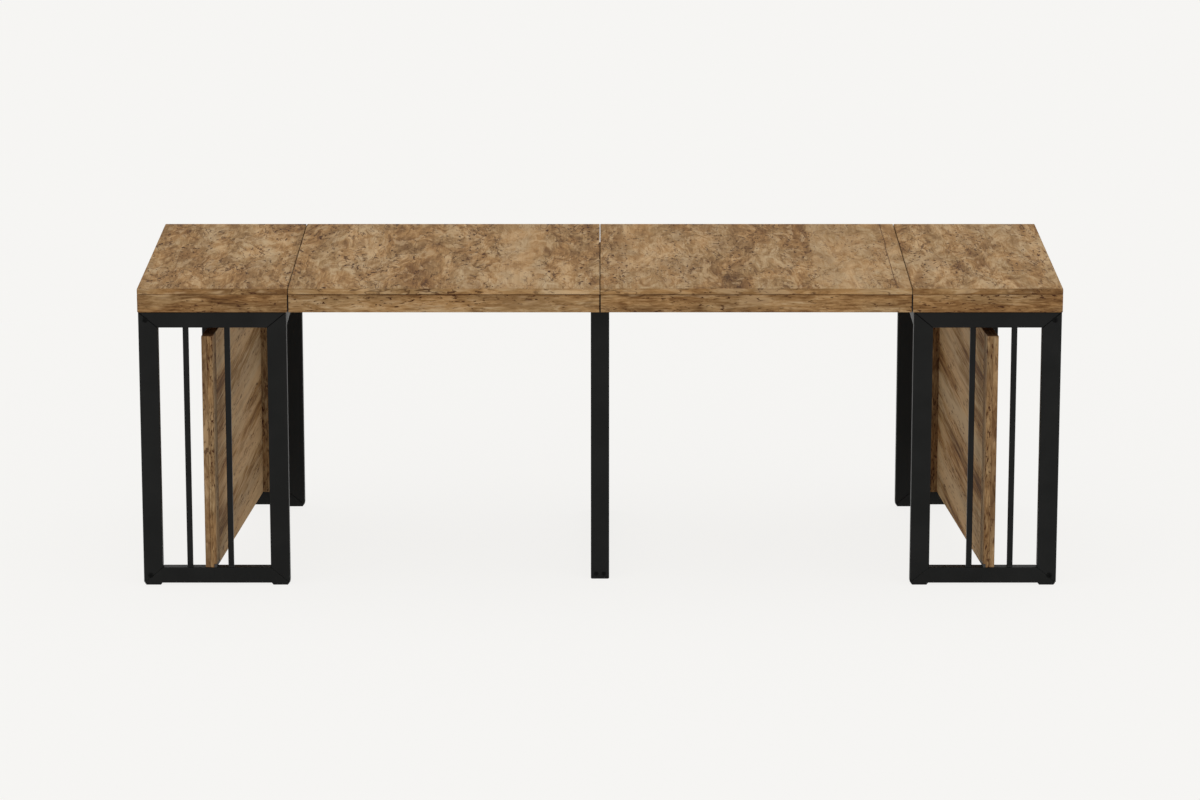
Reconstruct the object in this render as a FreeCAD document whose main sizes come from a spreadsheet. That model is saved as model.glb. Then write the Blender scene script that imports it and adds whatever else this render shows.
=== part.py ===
import FreeCAD, Part
import math
import os
import re
import Sketcher

# Extending dining table: two halves on end frames of black tube slide apart over a centre frame,
# and a spare leaf stands in each end frame. +X runs along the table, -Y is the front, +Z is up,
# and the origin is on the floor under the middle of the top. Sizes are in millimetres.

SIZES = {
    # Tops
    "table_height": 760,
    "table_depth": 800,
    "board_thickness": 15,
    "apron_height": 45,
    "apron_thickness": 20,
    "end_length": 371,
    "leaf_length": 769.5,
    "seam_gap": 1.5,
    "edge_ease": 1.5,
    "seam_ease": 1,
    # End frames
    "frame_width": 366,
    "frame_side_inset": 1,
    "frame_face_inset": 4,
    "leg_width": 48,
    "rail_height": 40,
    "tube_depth": 30,
    "tube_wall": 2,
    "tube_radius": 3,
    "mitre_ease": 1.2,
    "corner_ease": 3,
    "side_rail_width": 30,
    "back_inset": 9.5,
    "back_width": 264.5,
    "bar_size": 14,
    "bar_wall": 1.5,
    "bar_radius": 2,
    "slot_offset": 167,
    "slot_width": 88.5,
    "foot_height": 5,
    "foot_length": 44,
    "foot_width": 26,
    "foot_taper": 4,
    "bolt_diameter": 14,
    "bolt_height": 2.2,
    "bolt_socket": 6.5,
    "bolt_socket_depth": 1.6,
    "bolt_inset": 17,
    # Spare leaves
    "spare_length": 796,
    "spare_headroom": 20.7,
    "spare_width": "=table_height - board_thickness - apron_height - 2 * rail_height - foot_height"
                   " - stow_clearance - spare_headroom",
    "spare_panel": 13,
    "spare_core": 15,
    "lipping_width": 50,
    "notch_width": 6,
    "notch_height": 9,
    "batten_width": 50,
    "batten_proud": 17,
    "leaf_ease": 0.8,
    "stow_angle": 5,
    "stow_shift": 2,
    "stow_clearance": 0.3,
    # Centre frame
    "centre_width": 46,
    "centre_setback": 59,
    "foot_ease": 2,
    "saddle_length": 140,
    "saddle_thickness": 3,
    "saddle_margin": 12,
    "saddle_clearance": 2,
    "screw_diameter": 10,
    "screw_height": 1.6,
    "screw_slot": 1.6,
    "screw_spacing": 19,
    "screw_level": 13.5,
    # Slides
    "slide_length": 800,
    "slide_depth": 13,
    "slide_wall": 1.5,
    "slide_clearance": 0.3,
    "left_reach": 300,
    "right_reach": 240,
    "bearer_width": 22,
}

# Places worked out from the sizes above, for the half on the +X side
PLACES = {
    "frame_top": "table_height - board_thickness - apron_height",
    "board_bottom": "table_height - board_thickness",
    "leaf_start": "seam_gap / 2",
    "leaf_stop": "leaf_start + leaf_length",
    "end_start": "leaf_stop + seam_gap",
    "end_stop": "end_start + end_length",
    "front_edge": "-table_depth / 2",
    "back_edge": "table_depth / 2",
    "frame_outer": "end_stop - frame_side_inset",
    "frame_inner": "frame_outer - frame_width",
    "front_face": "front_edge + frame_face_inset",
    "front_rear": "front_face + tube_depth",
    "back_rear": "back_edge - frame_face_inset",
    "back_face": "back_rear - tube_depth",
    "back_inner": "frame_inner + back_inset",
    "back_outer": "back_inner + back_width",
    "rail_top": "foot_height + rail_height",
    "cut_across": "corner_ease * leg_width / (leg_width + rail_height)",
    "cut_up": "corner_ease * rail_height / (leg_width + rail_height)",
    "rail_bottom": "frame_top - rail_height",
    "slot_middle": "frame_outer - slot_offset",
    "back_slot_middle": "slot_middle - tan(stow_angle) * (back_face - front_face)",
    "bar_pitch": "slot_width / 2 + bar_size / 2",
    "spare_thickness": "spare_panel + spare_core",
    "slide_top": "table_height - spare_thickness",
    "slide_bottom": "frame_top - saddle_clearance",
    "saddle_bottom": "slide_bottom - saddle_thickness",
    "slide_step": "slide_wall + slide_clearance",
    "centre_front": "front_edge + centre_setback",
    "centre_back": "back_edge - centre_setback",
    "saddle_outer": "left_reach + saddle_margin",
    "saddle_inner": "right_reach - slide_depth - saddle_margin",
}

# Each body plane's role, and the direction of its normal along the remaining axis
PLANES = {"XY": ("XY_Plane", 1), "XZ": ("XZ_Plane", -1), "YZ": ("YZ_Plane", 1)}

AXES = {"XY": FreeCAD.Vector(0, 0, 1), "XZ": FreeCAD.Vector(0, 1, 0), "YZ": FreeCAD.Vector(1, 0, 0)}
UP = FreeCAD.Vector(0, 0, 1)
BACKWARD = FreeCAD.Vector(0, 1, 0)
ALONG = FreeCAD.Vector(1, 0, 0)

# How nearly parallel an edge is to an axis, and how near a corner is to a face, to count as on it
PARALLEL = 0.999
TOUCHING = 1e-6

SIDES = {"left": -1, "right": 1}
ENDS = {"front": -1, "back": 1}

doc = FreeCAD.newDocument("extending_dining_table")
nodes = []


def make_sheet():
    """Writes the sizes into the sheet, one named cell each; a size that fits others is a formula."""
    sheet = doc.addObject("Spreadsheet::Sheet", "Sizes")
    for row, (name, value) in enumerate(SIZES.items(), start=1):
        sheet.set(f"A{row}", name)
        sheet.set(f"B{row}", str(value))
        sheet.setAlias(f"B{row}", name)
    doc.recompute()


def formula(text):
    """Spells out a formula in the sheet's cells; places are replaced by their own formulas."""
    def spell(match):
        word = match.group()
        if word in PLACES:
            return f"({formula(PLACES[word])})"
        if word in SIZES:
            return f"Sizes.{word}"
        return word
    return re.sub(r"[A-Za-z_]\w*", spell, text)


def bind(item, prop, text):
    item.setExpression(prop, formula(text))


def mirrored(side, outline):
    """The same outline with its first coordinate turned to the given side."""
    return [(f"{side} * ({first})", second) for first, second in outline]


def span(side, near, far):
    """A stretch from near to far on the given side, lowest first."""
    if side > 0:
        return near, far
    return f"-({far})", f"-({near})"


def rectangle(left, right, low, high):
    return [(left, low), (right, low), (right, high), (left, high)]


def new_body(label):
    return doc.addObject("PartDesign::Body", label)


def draw(body, plane, outline, place):
    """A closed outline of straight lines on one of the body's own planes, moved along its normal."""
    role, normal = PLANES[plane]
    sketch = body.newObject("Sketcher::SketchObject", f"{body.Name}_outline")
    base = [item for item in body.Origin.OriginFeatures if item.Role == role][0]
    sketch.AttachmentSupport = [(base, "")]
    sketch.MapMode = "FlatFace"
    bind(sketch, "AttachmentOffset.Base.z", f"{normal} * ({place})")
    count = len(outline)
    turn = 2 * math.pi / count
    radius = 100
    rough = [FreeCAD.Vector(radius * math.cos(i * turn), radius * math.sin(i * turn), 0)
             for i in range(count)]
    for i in range(count):
        sketch.addGeometry(Part.LineSegment(rough[i], rough[(i + 1) % count]))
    for i in range(count):
        sketch.addConstraint(Sketcher.Constraint("Coincident", i, 2, (i + 1) % count, 1))
    for i, corner in enumerate(outline):
        for axis, text in zip("XY", corner):
            start = rough[i].x if axis == "X" else rough[i].y
            index = sketch.addConstraint(Sketcher.Constraint(f"Distance{axis}", -1, 1, i, 1, start))
            sketch.renameConstraint(index, f"corner_{i}_{axis}")
            bind(sketch, f"Constraints.corner_{i}_{axis}", text)
    return sketch


def pad(body, plane, outline, low, high):
    """Carries an outline along its plane's normal axis from low to high."""
    place = low if PLANES[plane][1] > 0 else high
    feature = body.newObject("PartDesign::Pad", f"{body.Name}_pad")
    feature.Profile = draw(body, plane, outline, place)
    bind(feature, "Length", f"({high}) - ({low})")
    return feature


def pocket(body, plane, outline, low, high):
    """Cuts an outline out of the body along its plane's normal axis from low to high."""
    place = high if PLANES[plane][1] > 0 else low
    feature = body.newObject("PartDesign::Pocket", f"{body.Name}_bore")
    feature.Profile = draw(body, plane, outline, place)
    bind(feature, "Length", f"({high}) - ({low})")
    return feature


def dress(body, kind, prop, size, wanted):
    """Adds a fillet or chamfer to the edges of the body that the test picks."""
    doc.recompute()
    base = body.Tip
    shape = base.Shape
    picked = [f"Edge{i}" for i, edge in enumerate(shape.Edges, start=1) if wanted(shape, edge)]
    feature = body.newObject(f"PartDesign::{kind}", f"{body.Name}_{kind.lower()}")
    feature.Base = (base, picked)
    bind(feature, prop, size)
    return feature


def runs_along(axis):
    """A test for straight edges parallel to one axis."""
    def wanted(shape, edge):
        first, last = edge.Vertexes[0].Point, edge.Vertexes[-1].Point
        run = last - first
        return abs(run.dot(axis)) > PARALLEL * run.Length
    return wanted


def outermost(direction):
    """A test for edges in the face of a piece that is furthest in one direction."""
    def wanted(shape, edge):
        reach = max(corner.Point.dot(direction) for corner in shape.Vertexes)
        return all(corner.Point.dot(direction) > reach - TOUCHING for corner in edge.Vertexes)
    return wanted


def outermost_but(direction, *others):
    """A test for edges of the face furthest in one direction that aren't in the faces of the others."""
    inside = outermost(direction)
    outside = [outermost(other) for other in others]

    def wanted(shape, edge):
        return inside(shape, edge) and not any(test(shape, edge) for test in outside)
    return wanted


def every_edge(shape, edge):
    return True


def on_mitre(shape, edge):
    """A test for edges of the slanted ends of a tube; the small cut at a corner is no mitre."""
    for face in shape.Faces:
        if not isinstance(face.Surface, Part.Plane) or face.BoundBox.DiagonalLength < SIZES["leg_width"]:
            continue
        straight = max(abs(face.Surface.Axis.dot(axis)) for axis in AXES.values())
        if straight < PARALLEL and any(edge.isSame(other) for other in face.Edges):
            return True
    return False


def has_mitre(shape):
    return any(on_mitre(shape, edge) for edge in shape.Edges)


def block(label, plane, outline, low, high):
    """A solid piece of one outline."""
    body = new_body(label)
    pad(body, plane, outline, low, high)
    return body


def tube(label, plane, outline, low, high, bore_plane, bore, start, stop, radius="tube_radius"):
    """A piece of rectangular tube with rounded long edges and an open bore; its ends follow the outline."""
    body = block(label, plane, outline, low, high)
    rounded = dress(body, "Fillet", "Radius", radius, runs_along(AXES[bore_plane]))
    doc.recompute()
    if has_mitre(rounded.Shape):
        dress(body, "Chamfer", "Size", "mitre_ease", on_mitre)
    pocket(body, bore_plane, bore, start, stop)
    return body


def keep(piece):
    """Takes a piece as a node of the part."""
    nodes.append(piece)
    return piece


def group(label, pieces):
    """Several like pieces as one node of separate solids."""
    compound = doc.addObject("Part::Compound", label)
    compound.Links = pieces
    return keep(compound)


def make_top(label, side, start, stop):
    """A top board with its edges eased."""
    body = block(label, "XY", mirrored(side, rectangle(start, stop, "front_edge", "back_edge")),
                 "board_bottom", "table_height")
    dress(body, "Chamfer", "Size", "edge_ease", outermost(UP))
    dress(body, "Chamfer", "Size", "seam_ease", outermost(-UP))
    keep(body)


def make_end_aprons(name, side):
    """Front, back and outer strips under an end top, mitred at the outer corners."""
    inside = "end_stop - apron_thickness"
    strips = []
    for end, turn in ENDS.items():
        edge = f"{turn} * back_edge"
        reveal = f"{turn} * (back_edge - apron_thickness)"
        outline = [("end_start", edge), ("end_stop", edge), (inside, reveal), ("end_start", reveal)]
        strip = block(f"{name}_end_{end}_apron", "XY", mirrored(side, outline), "frame_top", "board_bottom")
        dress(strip, "Chamfer", "Size", "seam_ease", outermost_but(turn * BACKWARD, side * ALONG))
        strips.append(strip)
    outline = [("end_stop", "front_edge"), ("end_stop", "back_edge"),
               (inside, "back_edge - apron_thickness"), (inside, "front_edge + apron_thickness")]
    strip = block(f"{name}_end_outer_apron", "XY", mirrored(side, outline), "frame_top", "board_bottom")
    dress(strip, "Chamfer", "Size", "seam_ease", outermost_but(side * ALONG, BACKWARD, -BACKWARD))
    strips.append(strip)
    group(f"{name}_end_aprons", strips)


def make_leaf_aprons(name, side):
    """Front and back strips under a leaf top."""
    strips = []
    for end, turn in ENDS.items():
        outline = rectangle("leaf_start", "leaf_stop", f"{turn} * (back_edge - apron_thickness)",
                            f"{turn} * back_edge")
        strip = block(f"{name}_leaf_{end}_apron", "XY", mirrored(side, outline), "frame_top", "board_bottom")
        dress(strip, "Chamfer", "Size", "seam_ease", outermost(turn * BACKWARD))
        strips.append(strip)
    group(f"{name}_leaf_aprons", strips)


def upright(label, side, outline, edge, inner, face):
    """An upright of an end frame; its width runs from edge to inner and its depth starts at face."""
    rear = f"{face} + tube_depth"
    bore = rectangle(f"min({edge}; {inner}) + tube_wall", f"max({edge}; {inner}) - tube_wall",
                     f"{face} + tube_wall", f"{rear} - tube_wall")
    return tube(label, "XZ", mirrored(side, outline), face, rear, "XY", mirrored(side, bore), "foot_height",
                "frame_top")


def level(label, side, outline, start, stop, low, high, face):
    """A rail along X of an end frame, from start to stop and from low to high."""
    rear = f"{face} + tube_depth"
    bore = rectangle(f"{face} + tube_wall", f"{rear} - tube_wall",
                     f"{low} + tube_wall", f"{high} - tube_wall")
    return tube(label, "XZ", mirrored(side, outline), face, rear, "YZ", bore, *span(side, start, stop))


def make_bars(label, side, middle, face):
    """Two thin upright bars beside the slot for the spare leaf, between the rails of a frame."""
    front = f"{face} + tube_depth / 2 - bar_size / 2"
    rear = f"{face} + tube_depth / 2 + bar_size / 2"
    bars = []
    for end, turn in (("outer", 1), ("inner", -1)):
        left = f"{middle} + {turn} * bar_pitch - bar_size / 2"
        right = f"{middle} + {turn} * bar_pitch + bar_size / 2"
        outline = rectangle(left, right, "rail_top", "rail_bottom")
        bore = rectangle(f"{left} + bar_wall", f"{right} - bar_wall",
                         f"{front} + bar_wall", f"{rear} - bar_wall")
        bars.append(tube(f"{label}_{end}", "XZ", mirrored(side, outline), front, rear,
                         "XY", mirrored(side, bore), "rail_top", "rail_bottom", "bar_radius"))
    group(label, bars)


def cut_rail(inner, outer):
    """The outline of a bottom rail between two mitres, with its outer corners cut."""
    return [(f"{inner} + corner_ease", "foot_height"), (f"{outer} - corner_ease", "foot_height"),
            (f"{outer} - cut_across", "foot_height + cut_up"), (f"{outer} - leg_width", "rail_top"),
            (f"{inner} + leg_width", "rail_top"), (f"{inner} + cut_across", "foot_height + cut_up")]


def make_front_frame(name, side):
    """Front frame of an end: a ring of tube, mitred from corner to corner, with two bars."""
    outer_reveal = "frame_outer - leg_width"
    inner_reveal = "frame_inner + leg_width"
    outer_leg = [("frame_outer", "foot_height + corner_ease"), ("frame_outer", "frame_top"),
                 (outer_reveal, "rail_bottom"), (outer_reveal, "rail_top"),
                 ("frame_outer - cut_across", "foot_height + cut_up")]
    inner_leg = [("frame_inner", "foot_height + corner_ease"), ("frame_inner", "frame_top"),
                 (inner_reveal, "rail_bottom"), (inner_reveal, "rail_top"),
                 ("frame_inner + cut_across", "foot_height + cut_up")]
    top_rail = [("frame_inner", "frame_top"), ("frame_outer", "frame_top"),
                (outer_reveal, "rail_bottom"), (inner_reveal, "rail_bottom")]
    bottom_rail = cut_rail("frame_inner", "frame_outer")
    keep(upright(f"{name}_front_outer_leg", side, outer_leg, "frame_outer", outer_reveal, "front_face"))
    keep(upright(f"{name}_front_inner_leg", side, inner_leg, "frame_inner", inner_reveal, "front_face"))
    keep(level(f"{name}_front_top_rail", side, top_rail, "frame_inner", "frame_outer",
               "rail_bottom", "frame_top", "front_face"))
    keep(level(f"{name}_front_bottom_rail", side, bottom_rail, "frame_inner", "frame_outer",
               "foot_height", "rail_top", "front_face"))
    make_bars(f"{name}_front_bars", side, "slot_middle", "front_face")


def make_back_frame(name, side):
    """Back frame of an end: a full top rail, and a narrower pair of legs mitred to a bottom rail."""
    outer_reveal = "back_outer - leg_width"
    inner_reveal = "back_inner + leg_width"
    outer_leg = [("back_outer", "foot_height + corner_ease"), ("back_outer", "rail_bottom"),
                 (outer_reveal, "rail_bottom"), (outer_reveal, "rail_top"),
                 ("back_outer - cut_across", "foot_height + cut_up")]
    inner_leg = [("back_inner", "foot_height + corner_ease"), ("back_inner", "rail_bottom"),
                 (inner_reveal, "rail_bottom"), (inner_reveal, "rail_top"),
                 ("back_inner + cut_across", "foot_height + cut_up")]
    bottom_rail = cut_rail("back_inner", "back_outer")
    top_rail = rectangle("back_inner", "frame_outer", "rail_bottom", "frame_top")
    keep(upright(f"{name}_back_outer_leg", side, outer_leg, "back_outer", outer_reveal, "back_face"))
    keep(upright(f"{name}_back_inner_leg", side, inner_leg, "back_inner", inner_reveal, "back_face"))
    keep(level(f"{name}_back_top_rail", side, top_rail, "back_inner", "frame_outer",
               "rail_bottom", "frame_top", "back_face"))
    keep(level(f"{name}_back_bottom_rail", side, bottom_rail, "back_inner", "back_outer",
               "foot_height", "rail_top", "back_face"))
    make_bars(f"{name}_back_bars", side, "back_slot_middle", "back_face")


def make_side_rails(name, side):
    """Rails along Y that join the front and back frames under an end top."""
    places = {"inner": ("frame_inner", "frame_inner + side_rail_width"),
              "outer": ("frame_outer - side_rail_width", "frame_outer")}
    for end, (near, far) in places.items():
        outline = rectangle(near, far, "front_rear", "back_face")
        bore = rectangle(f"{near} + tube_wall", f"{far} - tube_wall",
                         "rail_bottom + tube_wall", "frame_top - tube_wall")
        keep(tube(f"{name}_{end}_side_rail", "XY", mirrored(side, outline), "rail_bottom", "frame_top",
                  "XZ", mirrored(side, bore), "front_rear", "back_face"))


def foot(label, side, middle, face):
    """A tapered pad under a leg, centred on it."""
    wide = "foot_length / 2"
    narrow = "(foot_length / 2 - foot_taper)"
    outline = [(f"{middle} - {wide}", "foot_height"), (f"{middle} + {wide}", "foot_height"),
               (f"{middle} + {narrow}", "0 * foot_height"), (f"{middle} - {narrow}", "0 * foot_height")]
    return block(label, "XZ", mirrored(side, outline), f"{face} + tube_depth / 2 - foot_width / 2",
                 f"{face} + tube_depth / 2 + foot_width / 2")


def make_feet(name, side):
    """Four pads under the legs of an end."""
    places = {"front_outer": ("frame_outer - leg_width / 2", "front_face"),
              "front_inner": ("frame_inner + leg_width / 2", "front_face"),
              "back_outer": ("back_outer - leg_width / 2", "back_face"),
              "back_inner": ("back_inner + leg_width / 2", "back_face")}
    feet = [foot(f"{name}_{end}_foot", side, middle, face) for end, (middle, face) in places.items()]
    group(f"{name}_feet", feet)


def stand_on_front(item, across, face, up):
    """Turns a round piece to point at the front and places it by the middle of its back."""
    item.Placement = FreeCAD.Placement(FreeCAD.Vector(), FreeCAD.Rotation(FreeCAD.Vector(1, 0, 0), 90))
    bind(item, "Placement.Base.x", across)
    bind(item, "Placement.Base.y", face)
    bind(item, "Placement.Base.z", up)


def make_bolts(name, side):
    """Socket-head bolts in the outer corners of a front frame."""
    bolts = []
    across = f"{side} * (frame_outer - bolt_inset)"
    for end, up in (("top", "frame_top - rail_height / 2"), ("bottom", "foot_height + rail_height / 2")):
        head = doc.addObject("Part::Cylinder", f"{name}_{end}_bolt_head")
        bind(head, "Radius", "bolt_diameter / 2")
        bind(head, "Height", "bolt_height")
        stand_on_front(head, across, "front_face", up)
        socket = doc.addObject("Part::Prism", f"{name}_{end}_bolt_socket")
        socket.Polygon = 6
        bind(socket, "Circumradius", "bolt_socket / 2")
        bind(socket, "Height", "bolt_socket_depth")
        stand_on_front(socket, across, "front_face - bolt_height + bolt_socket_depth", up)
        bolt = doc.addObject("Part::Cut", f"{name}_{end}_bolt")
        bolt.Base = head
        bolt.Tool = socket
        bolts.append(bolt)
    group(f"{name}_frame_bolts", bolts)


def make_spare_leaf(name, side):
    """A spare leaf standing on the bottom rails, askew in its slot: two layers, a lipping and a batten.

    The lipping is notched at its lower inner corner.
    """
    outside = "spare_thickness / 2"
    layer = "spare_thickness / 2 - spare_panel"
    inside = "-spare_thickness / 2"
    notch = rectangle(inside, f"{inside} + notch_width", "0 * spare_length", "lipping_width")
    pieces = {
        "panel": rectangle(layer, outside, "0 * spare_length", "spare_length"),
        "core": rectangle(inside, layer, "lipping_width", "spare_length"),
        "lipping": rectangle(inside, layer, "0 * spare_length", "lipping_width"),
        "batten": rectangle(f"{inside} - batten_proud", inside,
                            "spare_length - batten_width", "spare_length"),
    }
    for piece, outline in pieces.items():
        body = block(f"{name}_spare_{piece}", "XY", mirrored(side, outline),
                     "0 * spare_width", "spare_width")
        dress(body, "Chamfer", "Size", "leaf_ease", every_edge)
        if piece == "lipping":
            pocket(body, "XY", mirrored(side, notch), "0 * notch_height", "notch_height")
        bind(body, "Placement.Base.x", f"{side} * (slot_middle - stow_shift)")
        bind(body, "Placement.Base.y", "front_face")
        bind(body, "Placement.Base.z", "rail_top + stow_clearance")
        bind(body, "Placement.Rotation.Angle", f"{side} * stow_angle")
        keep(body)


def channel(label, turn, web, hollow, mouth, low, high):
    """A length of C-section rail; its web is between web and hollow and its flanges reach to mouth."""
    outline = [(web, low), (web, high), (mouth, high), (mouth, f"{high} - slide_wall"),
               (hollow, f"{high} - slide_wall"), (hollow, f"{low} + slide_wall"),
               (mouth, f"{low} + slide_wall"), (mouth, low)]
    return block(label, "YZ", mirrored(turn, outline), "-slide_length / 2", "slide_length / 2")


def fixed_rail(label, turn, reach):
    """The outer member of a slide, open towards the middle of the table."""
    return channel(label, turn, reach, f"{reach} - slide_wall", f"{reach} - slide_depth + slide_clearance",
                   "slide_bottom", "slide_top")


def middle_rail(label, turn, reach):
    """The intermediate member, nested in the fixed rail."""
    return channel(label, turn, f"{reach} - slide_step", f"{reach} - slide_step - slide_wall",
                   f"{reach} - slide_depth + slide_clearance",
                   "slide_bottom + slide_step", "slide_top - slide_step")


def runner(label, turn, reach):
    """The inner member, nested the other way round, with its web against the bearer."""
    return channel(label, turn, f"{reach} - slide_depth", f"{reach} - slide_depth + slide_wall",
                   f"{reach} - 2 * slide_step",
                   "slide_bottom + 2 * slide_step", "slide_top - 2 * slide_step")


def make_slides(name, side):
    """Bearers, runners and intermediate rails of one half."""
    reach = f"{name}_reach"
    bearers = []
    for end, turn in ENDS.items():
        near = f"{turn} * ({reach} - slide_depth)"
        far = f"{turn} * ({reach} - slide_depth - bearer_width)"
        outline = rectangle("leaf_start", "end_stop - apron_thickness", near, far)
        bearers.append(block(f"{name}_{end}_bearer", "XY", mirrored(side, outline),
                             "frame_top", "board_bottom"))
    group(f"{name}_bearers", bearers)
    group(f"{name}_runners", [runner(f"{name}_{end}_runner", turn, reach) for end, turn in ENDS.items()])
    group(f"{name}_middle_rails", [middle_rail(f"{name}_{end}_middle_rail", turn, reach)
                                   for end, turn in ENDS.items()])


def make_centre_frame():
    """The frame under the middle seam: a ring of tube across the table, mitred at its corners."""
    left, right = "-centre_width / 2", "centre_width / 2"
    wide_bore = ("-centre_width / 2 + tube_wall", "centre_width / 2 - tube_wall")
    top_reveal = "saddle_bottom - rail_height"
    for end, turn in ENDS.items():
        outer = f"{turn} * centre_back"
        inner = f"{turn} * (centre_back - tube_depth)"
        leg = [(outer, "foot_height"), (outer, "saddle_bottom"), (inner, top_reveal), (inner, "rail_top")]
        bore = rectangle(*wide_bore, f"{turn} * (centre_back - tube_wall)",
                         f"{turn} * (centre_back - tube_depth + tube_wall)")
        keep(tube(f"centre_{end}_leg", "YZ", leg, left, right, "XY", bore, "foot_height", "saddle_bottom"))
    beams = {"top": ("saddle_bottom", top_reveal), "bottom": ("foot_height", "rail_top")}
    for end, (outer, inner) in beams.items():
        outline = [("centre_front", outer), ("centre_back", outer),
                   ("centre_back - tube_depth", inner), ("centre_front + tube_depth", inner)]
        low, high = (inner, outer) if end == "top" else (outer, inner)
        bore = rectangle(*wide_bore, f"{low} + tube_wall", f"{high} - tube_wall")
        keep(tube(f"centre_{end}_beam", "YZ", outline, left, right,
                  "XZ", bore, "centre_front", "centre_back"))


def make_centre_feet():
    """Pads under the legs of the centre frame."""
    places = {"front": "centre_front", "back": "centre_back - tube_depth"}
    feet = []
    for end, face in places.items():
        outline = rectangle("-centre_width / 2", "centre_width / 2", face, f"{face} + tube_depth")
        pad_body = block(f"centre_{end}_foot", "XY", outline, "0 * foot_height", "foot_height")
        dress(pad_body, "Fillet", "Radius", "tube_radius", runs_along(AXES["XY"]))
        dress(pad_body, "Chamfer", "Size", "foot_ease", outermost(-UP))
        feet.append(pad_body)
    group("centre_feet", feet)


def make_centre_screws():
    """Slotted screw heads at the foot of the centre frame's front leg."""
    screws = []
    for end, turn in SIDES.items():
        across = f"{turn} * screw_spacing / 2"
        head = doc.addObject("Part::Cylinder", f"centre_{end}_screw_head")
        bind(head, "Radius", "screw_diameter / 2")
        bind(head, "Height", "screw_height")
        stand_on_front(head, across, "centre_front", "screw_level")
        slot = doc.addObject("Part::Box", f"centre_{end}_screw_slot")
        bind(slot, "Length", "screw_slot")
        bind(slot, "Width", "screw_height / 2")
        bind(slot, "Height", "screw_diameter")
        bind(slot, "Placement.Base.x", f"{across} - screw_slot / 2")
        bind(slot, "Placement.Base.y", "centre_front - screw_height")
        bind(slot, "Placement.Base.z", "screw_level - screw_diameter / 2")
        screw = doc.addObject("Part::Cut", f"centre_{end}_screw")
        screw.Base = head
        screw.Tool = slot
        screws.append(screw)
    group("centre_screws", screws)


def make_fixed_slides():
    """Saddle plates on the centre frame's top beam, and the fixed rails of both halves on them."""
    plates = []
    rails = []
    for end, turn in ENDS.items():
        outline = rectangle("-saddle_length / 2", "saddle_length / 2", f"{turn} * saddle_inner",
                            f"{turn} * saddle_outer")
        plates.append(block(f"centre_{end}_saddle", "XY", outline, "saddle_bottom", "slide_bottom"))
        for name in SIDES:
            rails.append(fixed_rail(f"{name}_{end}_fixed_rail", turn, f"{name}_reach"))
    group("centre_saddles", plates)
    group("fixed_rails", rails)


def check_document():
    """Stops when a feature failed or a node has no sound shape."""
    doc.recompute()
    failed = [item.Label for item in doc.Objects if "Invalid" in item.State or "Error" in item.State]
    unsound = [item.Label for item in nodes if item.Shape.isNull() or not item.Shape.isValid()]
    if failed or unsound:
        raise RuntimeError(f"failed features {failed}, unsound nodes {unsound}")


def write_nodes():
    os.makedirs("parts", exist_ok=True)
    for item in nodes:
        item.Shape.exportStep(f"parts/{item.Label}.step")
    print(len(nodes), "nodes,", sum(len(item.Shape.Solids) for item in nodes), "solids")


make_sheet()
for side_name, side_sign in SIDES.items():
    make_top(f"{side_name}_end_top", side_sign, "end_start", "end_stop")
    make_top(f"{side_name}_leaf_top", side_sign, "leaf_start", "leaf_stop")
    make_end_aprons(side_name, side_sign)
    make_leaf_aprons(side_name, side_sign)
    make_front_frame(side_name, side_sign)
    make_back_frame(side_name, side_sign)
    make_side_rails(side_name, side_sign)
    make_feet(side_name, side_sign)
    make_bolts(side_name, side_sign)
    make_slides(side_name, side_sign)
    make_spare_leaf(side_name, side_sign)
make_centre_frame()
make_centre_feet()
make_centre_screws()
make_fixed_slides()
check_document()
write_nodes()
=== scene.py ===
import math
from dataclasses import dataclass, replace
from types import SimpleNamespace

import bmesh
import bpy
import numpy as np
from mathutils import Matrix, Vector


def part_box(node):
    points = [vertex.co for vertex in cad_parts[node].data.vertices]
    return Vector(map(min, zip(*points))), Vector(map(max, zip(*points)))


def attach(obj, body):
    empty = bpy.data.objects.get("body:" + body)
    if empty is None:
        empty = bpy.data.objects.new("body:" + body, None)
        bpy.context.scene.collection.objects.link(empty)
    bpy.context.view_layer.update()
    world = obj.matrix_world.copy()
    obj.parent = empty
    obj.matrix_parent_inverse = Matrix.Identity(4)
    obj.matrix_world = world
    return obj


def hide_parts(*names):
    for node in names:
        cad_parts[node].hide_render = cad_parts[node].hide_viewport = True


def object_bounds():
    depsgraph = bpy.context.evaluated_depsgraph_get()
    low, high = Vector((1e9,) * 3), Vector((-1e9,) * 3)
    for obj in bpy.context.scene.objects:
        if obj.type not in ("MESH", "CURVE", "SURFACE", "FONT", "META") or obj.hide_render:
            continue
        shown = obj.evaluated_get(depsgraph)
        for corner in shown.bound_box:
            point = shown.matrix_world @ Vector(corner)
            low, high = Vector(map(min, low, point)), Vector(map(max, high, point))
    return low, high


bl_info = {
    "name": "Extending dining table",
    "version": (1, 0, 0),
    "blender": (4, 5, 0),
    "location": "3D View > Sidebar > Table",
    "description": "Finishes and small fittings of an extending table on black tube frames",
    "category": "Object",
}

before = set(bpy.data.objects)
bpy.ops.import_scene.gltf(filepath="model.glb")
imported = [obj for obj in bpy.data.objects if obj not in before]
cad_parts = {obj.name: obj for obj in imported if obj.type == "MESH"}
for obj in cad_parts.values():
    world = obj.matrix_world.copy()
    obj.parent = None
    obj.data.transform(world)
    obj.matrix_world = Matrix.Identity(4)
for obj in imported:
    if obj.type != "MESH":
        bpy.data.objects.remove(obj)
CAD_LOW, CAD_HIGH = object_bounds()

SIDES = {"left": -1, "right": 1}
STOW_ANGLE = math.radians(5)


# Settings that a user would change


def number(name, description, default, **kind):
    """A number in the sidebar."""
    return bpy.props.FloatProperty(name=name, description=description, default=default, **kind)


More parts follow.
